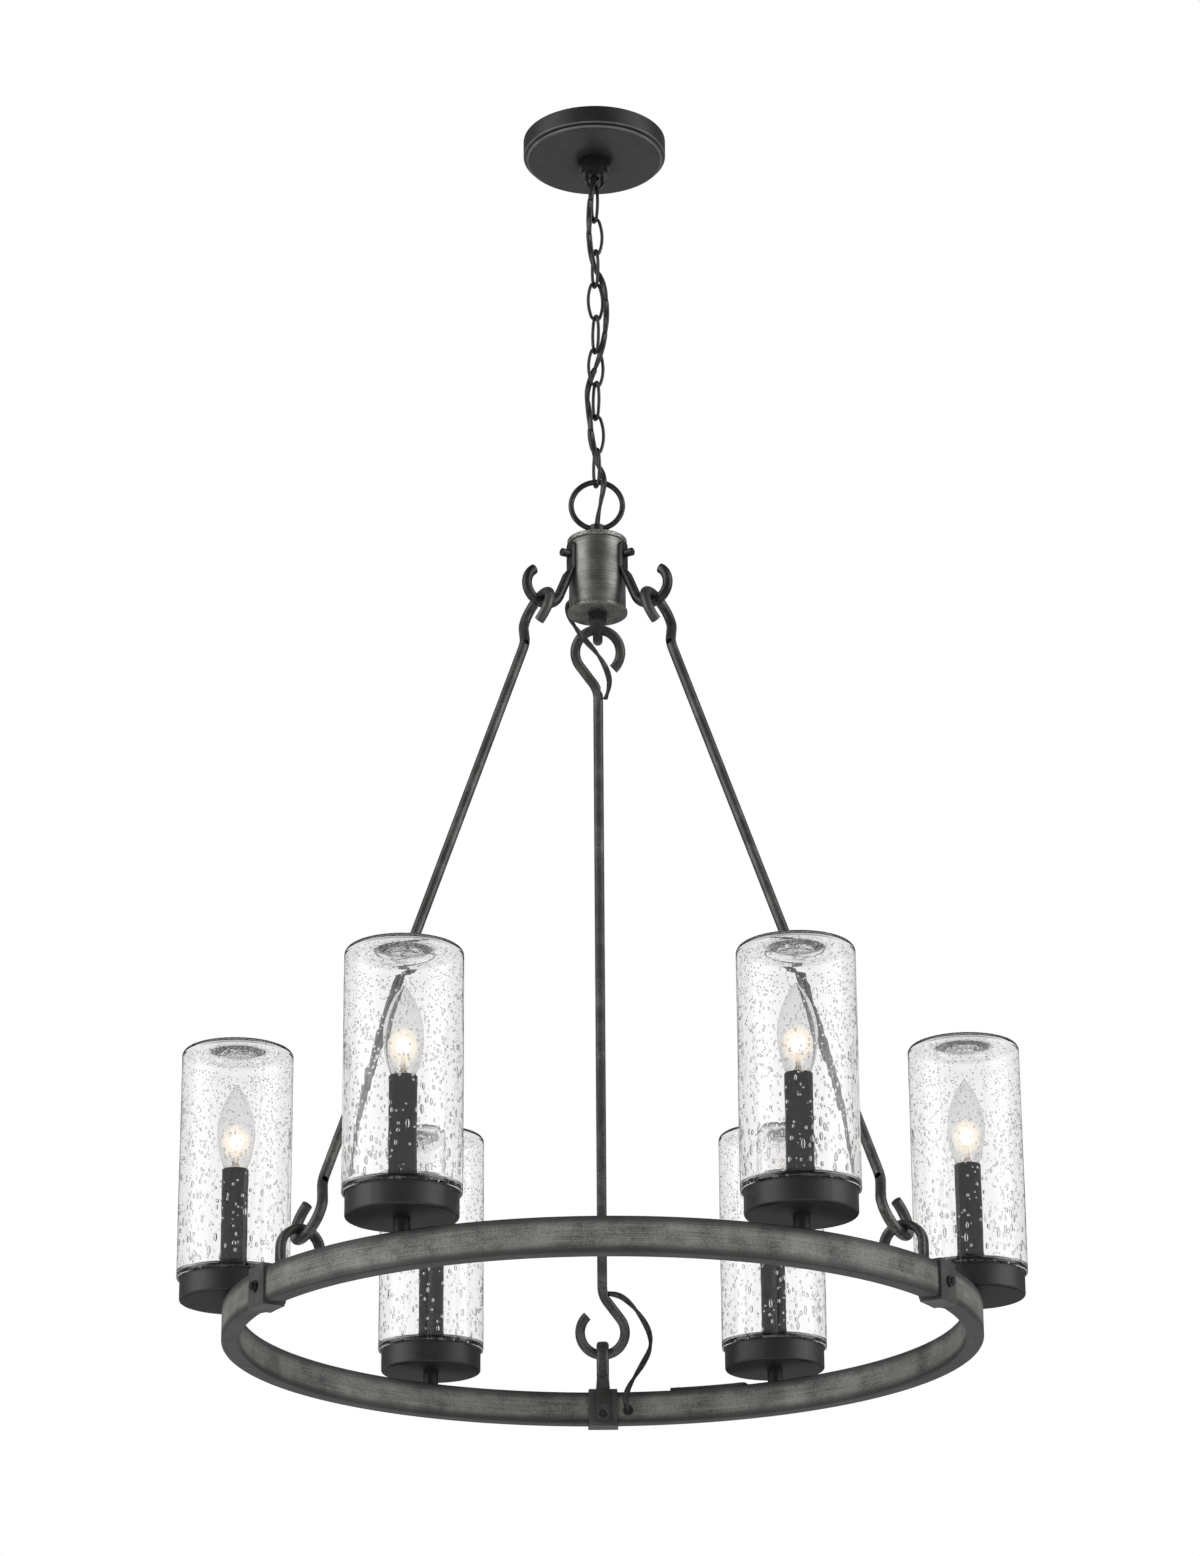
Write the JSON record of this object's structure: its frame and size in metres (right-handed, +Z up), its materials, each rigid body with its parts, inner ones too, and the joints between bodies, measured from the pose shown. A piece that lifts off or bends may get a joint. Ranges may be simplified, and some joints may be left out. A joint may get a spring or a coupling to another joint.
{
  "type": "outdoor chandelier",
  "caption": "Outdoor ring chandelier on a chain, with seeded glass cylinder shades over candle lamps, hung by hooked rods from a round hub.",
  "frame": {"origin": "centre of the canopy's ceiling face, between the two outlet box holes", "axes": "+Z up to the ceiling, +X to the right in the picture, -Y towards its camera"},
  "size_m": [0.766, 0.6876, 1.2214],
  "materials": {
    "canopy_black": "matte",
    "chain_black": "gloss",
    "gunmetal": "brushed",
    "dark_iron": "satin",
    "barnboard": "dry-brushed",
    "plated_steel": "plated",
    "cord_black": "satin",
    "black_rubber": "matte",
    "socket_plastic": "matte",
    "seeded_glass": "seeded",
    "lamp_glass": "clear"
  },
  "bodies": {
    "root": {"canopy": "canopy_black", "mounting_crossbar": "plated_steel", "canopy_pipe": "plated_steel", "lock_nut": "plated_steel", "wire_connectors": "socket_plastic", "canopy_loop": "chain_black", "supply_cord": "cord_black"},
    "collar": {"screw_collar": "chain_black"},
    "link_1": {"chain_link_1": "chain_black"},
    "link_2": {"chain_link_2": "chain_black"},
    "link_3": {"chain_link_3": "chain_black"},
    "link_4": {"chain_link_4": "chain_black"},
    "link_5": {"chain_link_5": "chain_black"},
    "link_6": {"chain_link_6": "chain_black"},
    "link_7": {"chain_link_7": "chain_black"},
    "link_8": {"chain_link_8": "chain_black"},
    "link_9": {"chain_link_9": "chain_black"},
    "hub": {"hub_loop": "gunmetal", "hub_top_cap": "gunmetal", "hub_body": "gunmetal", "hub_bottom_cap": "gunmetal", "hub_pipe": "plated_steel", "hub_finial": "gunmetal", "hub_hooks": "dark_iron", "hook_pins": "dark_iron", "wire_bushing": "black_rubber", "hub_wire": "cord_black"},
    "rod_far": {"hanger_rod_far": "dark_iron", "rod_wire": "cord_black"},
    "rod_left": {"hanger_rod_left": "dark_iron"},
    "rod_right": {"hanger_rod_right": "dark_iron"},
    "ring": {"ring_frame": "barnboard", "ring_clips": "dark_iron", "clip_hooks": "dark_iron", "strap_rivets": "dark_iron", "clip_bolts": "dark_iron", "wire_grommet": "black_rubber", "wiring_cover": "canopy_black", "cover_screws": "canopy_black", "ring_harness": "cord_black", "ring_wire": "cord_black", "candle_spacers": "canopy_black", "candle_pipes": "plated_steel", "candle_nuts": "plated_steel", "shade_cups": "canopy_black", "shade_gaskets": "black_rubber", "candle_sleeves": "canopy_black", "lamp_sockets": "socket_plastic"},
    "shade_1": {"glass_shade_1": "seeded_glass"},
    "lamp_1": {"candle_lamp_1": "lamp_glass"},
    "shade_2": {"glass_shade_2": "seeded_glass"},
    "lamp_2": {"candle_lamp_2": "lamp_glass"},
    "shade_3": {"glass_shade_3": "seeded_glass"},
    "lamp_3": {"candle_lamp_3": "lamp_glass"},
    "shade_4": {"glass_shade_4": "seeded_glass"},
    "lamp_4": {"candle_lamp_4": "lamp_glass"},
    "shade_5": {"glass_shade_5": "seeded_glass"},
    "lamp_5": {"candle_lamp_5": "lamp_glass"},
    "shade_6": {"glass_shade_6": "seeded_glass"},
    "lamp_6": {"candle_lamp_6": "lamp_glass"}
  },
  "joints": [
    {"name": "collar_turn", "type": "hinge", "parent": "root", "child": "collar", "pos_m": [0, 0, -0.02265], "axis": [0, 0, 1], "continuous": true},
    {"name": "link_1_swing", "type": "hinge", "parent": "root", "child": "link_1", "pos_m": [0, 0, -0.05325], "axis": [0.9272, 0.3746, 0], "range_deg": [-8, 8], "deforming": ["supply_cord"]},
    {"name": "link_2_swing", "type": "hinge", "parent": "link_1", "child": "link_2", "pos_m": [0, 0, -0.08865], "axis": [-0.3746, 0.9272, 0], "range_deg": [-8, 8], "deforming": ["supply_cord"]},
    {"name": "link_3_swing", "type": "hinge", "parent": "link_2", "child": "link_3", "pos_m": [0, 0, -0.12435], "axis": [0.9272, 0.3746, 0], "range_deg": [-8, 8], "deforming": ["supply_cord"]},
    {"name": "link_4_swing", "type": "hinge", "parent": "link_3", "child": "link_4", "pos_m": [0, 0, -0.16005], "axis": [-0.3746, 0.9272, 0], "range_deg": [-8, 8], "deforming": ["supply_cord"]},
    {"name": "link_5_swing", "type": "hinge", "parent": "link_4", "child": "link_5", "pos_m": [0, 0, -0.19575], "axis": [0.9272, 0.3746, 0], "range_deg": [-8, 8], "deforming": ["supply_cord"]},
    {"name": "link_6_swing", "type": "hinge", "parent": "link_5", "child": "link_6", "pos_m": [0, 0, -0.23145], "axis": [-0.3746, 0.9272, 0], "range_deg": [-8, 8], "deforming": ["supply_cord"]},
    {"name": "link_7_swing", "type": "hinge", "parent": "link_6", "child": "link_7", "pos_m": [0, 0, -0.26715], "axis": [0.9272, 0.3746, 0], "range_deg": [-8, 8], "deforming": ["supply_cord"]},
    {"name": "link_8_swing", "type": "hinge", "parent": "link_7", "child": "link_8", "pos_m": [0, 0, -0.30285], "axis": [-0.3746, 0.9272, 0], "range_deg": [-8, 8], "deforming": ["supply_cord"]},
    {"name": "link_9_swing", "type": "hinge", "parent": "link_8", "child": "link_9", "pos_m": [0, 0, -0.33855], "axis": [0.9272, 0.3746, 0], "range_deg": [-8, 8], "deforming": ["supply_cord"]},
    {"name": "hub_swing", "type": "hinge", "parent": "link_9", "child": "hub", "pos_m": [0, 0, -0.37425], "axis": [-0.3746, 0.9272, 0], "range_deg": [-8, 8], "deforming": ["supply_cord"]},
    {"name": "ring_twist", "type": "hinge", "parent": "hub", "child": "ring", "pos_m": [0, 0, -1.2034], "axis": [0, 0, 1], "range_deg": [-3.5, 3.5], "stiffness_Nm_per_rad": 2.13, "deforming": ["ring_wire", "hub_wire"]},
    {"name": "rod_far_swing", "type": "hinge", "parent": "hub", "child": "rod_far", "pos_m": [0, 0.0585, -0.50815], "axis": [0, 1, 0], "range_deg": [-2, 2]},
    {"name": "rod_left_swing", "type": "hinge", "parent": "hub", "child": "rod_left", "pos_m": [-0.05066, -0.02925, -0.50815], "axis": [-0.866, -0.5, 0], "range_deg": [-2, 2]},
    {"name": "rod_right_swing", "type": "hinge", "parent": "hub", "child": "rod_right", "pos_m": [0.05066, -0.02925, -0.50815], "axis": [0.866, -0.5, 0], "range_deg": [-2, 2]},
    {"name": "shade_1_turn", "type": "hinge", "parent": "ring", "child": "shade_1", "pos_m": [0.332, 0, -1.1524], "axis": [0, 0, 1], "range_deg": [0, 360]},
    {"name": "shade_2_turn", "type": "hinge", "parent": "ring", "child": "shade_2", "pos_m": [0.166, 0.28752, -1.1524], "axis": [0, 0, 1], "range_deg": [0, 360]},
    {"name": "shade_3_turn", "type": "hinge", "parent": "ring", "child": "shade_3", "pos_m": [-0.166, 0.28752, -1.1524], "axis": [0, 0, 1], "range_deg": [0, 360]},
    {"name": "shade_4_turn", "type": "hinge", "parent": "ring", "child": "shade_4", "pos_m": [-0.332, 0, -1.1524], "axis": [0, 0, 1], "range_deg": [0, 360]},
    {"name": "shade_5_turn", "type": "hinge", "parent": "ring", "child": "shade_5", "pos_m": [-0.166, -0.28752, -1.1524], "axis": [0, 0, 1], "range_deg": [0, 360]},
    {"name": "shade_6_turn", "type": "hinge", "parent": "ring", "child": "shade_6", "pos_m": [0.166, -0.28752, -1.1524], "axis": [0, 0, 1], "range_deg": [0, 360]},
    {"name": "lamp_1_turn", "type": "hinge", "parent": "ring", "child": "lamp_1", "pos_m": [0.332, 0, -1.0765], "axis": [0, 0, 1], "range_deg": [0, 1080]},
    {"name": "lamp_2_turn", "type": "hinge", "parent": "ring", "child": "lamp_2", "pos_m": [0.166, 0.28752, -1.0765], "axis": [0, 0, 1], "range_deg": [0, 1080]},
    {"name": "lamp_3_turn", "type": "hinge", "parent": "ring", "child": "lamp_3", "pos_m": [-0.166, 0.28752, -1.0765], "axis": [0, 0, 1], "range_deg": [0, 1080]},
    {"name": "lamp_4_turn", "type": "hinge", "parent": "ring", "child": "lamp_4", "pos_m": [-0.332, 0, -1.0765], "axis": [0, 0, 1], "range_deg": [0, 1080]},
    {"name": "lamp_5_turn", "type": "hinge", "parent": "ring", "child": "lamp_5", "pos_m": [-0.166, -0.28752, -1.0765], "axis": [0, 0, 1], "range_deg": [0, 1080]},
    {"name": "lamp_6_turn", "type": "hinge", "parent": "ring", "child": "lamp_6", "pos_m": [0.166, -0.28752, -1.0765], "axis": [0, 0, 1], "range_deg": [0, 1080]}
  ],
  "couplings": [
    {"joint": "rod_far_swing", "follows": "ring_twist", "ratio": 0.4637},
    {"joint": "rod_left_swing", "follows": "ring_twist", "ratio": 0.4637},
    {"joint": "rod_right_swing", "follows": "ring_twist", "ratio": 0.4637}
  ]
}
